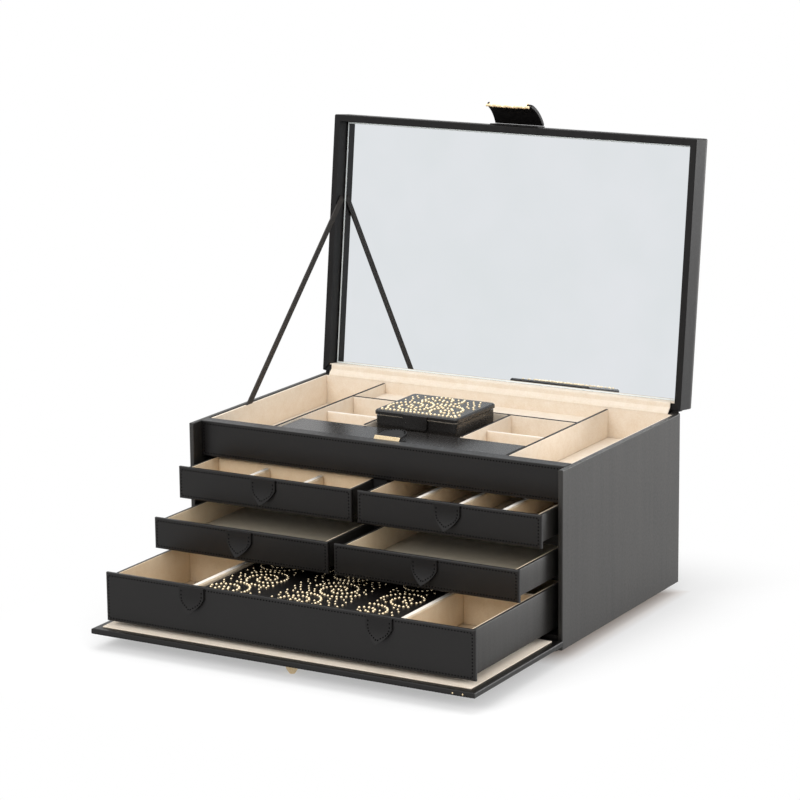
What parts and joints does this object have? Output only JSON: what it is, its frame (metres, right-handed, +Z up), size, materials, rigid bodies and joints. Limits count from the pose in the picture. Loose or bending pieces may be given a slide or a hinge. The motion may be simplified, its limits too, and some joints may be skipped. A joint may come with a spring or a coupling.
{
  "type": "tiered jewelry box",
  "caption": "Leather-covered jewelry box with a mirrored lid, a divided tray, a drop front on a lotus knob, and tiers of pull-out drawers.",
  "frame": {"origin": "on the table under the middle of the case, between the four feet", "axes": "+X to the right seen from the front, +Y to the back, +Z up; the drawers slide out along -Y"},
  "size_m": [0.402, 0.4742, 0.4652],
  "materials": {
    "black_leather": "fine grain, semi-gloss",
    "cream_suede": "short napped suede",
    "taupe_suede": "short napped suede",
    "gold_plate": "polished gold plate",
    "mirror_glass": "mirror",
    "fibreboard": "raw fibreboard, mostly covered",
    "black_rubber": "matte",
    "studded_leather": "fine grain set with small metal studs"
  },
  "bodies": {
    "case": {"side_panel_left": "black_leather", "side_panel_right": "black_leather", "back_panel": "black_leather", "base_board": "black_leather", "feet": "black_rubber", "front_apron": "black_leather", "tray_floor": "fibreboard", "drawer_shelves": "fibreboard", "centre_partitions": "fibreboard", "drawer_guides": "fibreboard", "tray_lining": "cream_suede", "tray_main_dividers": "cream_suede", "tray_small_dividers": "cream_suede", "rear_tray_floor": "cream_suede", "lid_hinge_case_leaf": "gold_plate", "lid_hinge_pin": "gold_plate", "hinge_gusset": "cream_suede", "stay_strap": "black_leather", "drop_front_hinge_strip": "black_leather"},
    "lid": {"lid_top_panel": "black_leather", "lid_frame": "black_leather", "lid_mirror": "mirror_glass", "lid_backing": "fibreboard", "lid_back_lining": "cream_suede", "lid_hinge_lid_leaf": "gold_plate", "clasp_root": "black_leather"},
    "clasp": {"clasp_tab": "black_leather", "clasp_plate": "gold_plate"},
    "drop_front": {"drop_front_panel": "black_leather", "drop_front_lining": "cream_suede", "lotus_knob": "gold_plate"},
    "compartment_cover": {"compartment_lid": "black_leather", "compartment_lid_bar": "gold_plate", "compartment_lid_loop": "black_leather"},
    "mini_case": {"mini_case_base": "black_leather", "mini_case_lining": "cream_suede", "mini_case_hinge": "black_leather"},
    "mini_case_cover": {"mini_case_lid": "studded_leather", "mini_case_strap": "black_leather"},
    "upper_left_drawer": {"upper_left_front": "black_leather", "upper_left_box": "black_leather", "upper_left_lining": "cream_suede", "upper_left_pull": "black_leather"},
    "upper_right_drawer": {"upper_right_front": "black_leather", "upper_right_box": "black_leather", "upper_right_lining": "cream_suede", "upper_right_pull": "black_leather"},
    "middle_left_drawer": {"middle_left_front": "black_leather", "middle_left_box": "black_leather", "middle_left_lining": "taupe_suede", "middle_left_pull": "black_leather"},
    "middle_right_drawer": {"middle_right_front": "black_leather", "middle_right_box": "black_leather", "middle_right_lining": "taupe_suede", "middle_right_pull": "black_leather"},
    "bottom_drawer": {"bottom_front": "black_leather", "bottom_box": "black_leather", "bottom_lining": "cream_suede", "bottom_pull": "black_leather", "studded_travel_case": "studded_leather"}
  },
  "joints": [
    {"name": "lid_hinge", "type": "hinge", "parent": "case", "child": "lid", "pos_m": [0, 0.12525, 0.1814], "axis": [-1, 0, 0], "range_deg": [-96.9, 0], "deforming": ["hinge_gusset", "stay_strap"]},
    {"name": "clasp_flex", "type": "hinge", "parent": "lid", "child": "clasp", "pos_m": [0, 0.17488, 0.44172], "axis": [-1, 0, 0], "range_deg": [-30, 0]},
    {"name": "drop_front_hinge", "type": "hinge", "parent": "case", "child": "drop_front", "pos_m": [0, -0.1308, 0.01585], "axis": [-1, 0, 0], "range_deg": [0, 1.1], "deforming": ["drop_front_hinge_strip"]},
    {"name": "compartment_lid_hinge", "type": "hinge", "parent": "case", "child": "compartment_cover", "pos_m": [0, -0.04605, 0.1743], "axis": [-1, 0, 0], "range_deg": [0, 70]},
    {"name": "mini_case_lift", "type": "slide", "parent": "case", "child": "mini_case", "axis": [0, 0, 1], "range_m": [0, 0.06]},
    {"name": "mini_case_lid_hinge", "type": "hinge", "parent": "mini_case", "child": "mini_case_cover", "pos_m": [0, 0.03895, 0.1867], "axis": [-1, 0, 0], "range_deg": [0, 100]},
    {"name": "upper_left_drawer_slide", "type": "slide", "parent": "case", "child": "upper_left_drawer", "axis": [0, -1, 0], "range_m": [-0.0433, 0.12]},
    {"name": "upper_right_drawer_slide", "type": "slide", "parent": "case", "child": "upper_right_drawer", "axis": [0, -1, 0], "range_m": [-0.0433, 0.12]},
    {"name": "middle_left_drawer_slide", "type": "slide", "parent": "case", "child": "middle_left_drawer", "axis": [0, -1, 0], "range_m": [-0.0863, 0.09]},
    {"name": "middle_right_drawer_slide", "type": "slide", "parent": "case", "child": "middle_right_drawer", "axis": [0, -1, 0], "range_m": [-0.0863, 0.09]},
    {"name": "bottom_drawer_slide", "type": "slide", "parent": "case", "child": "bottom_drawer", "axis": [0, -1, 0], "range_m": [-0.1676, 0.025]}
  ]
}
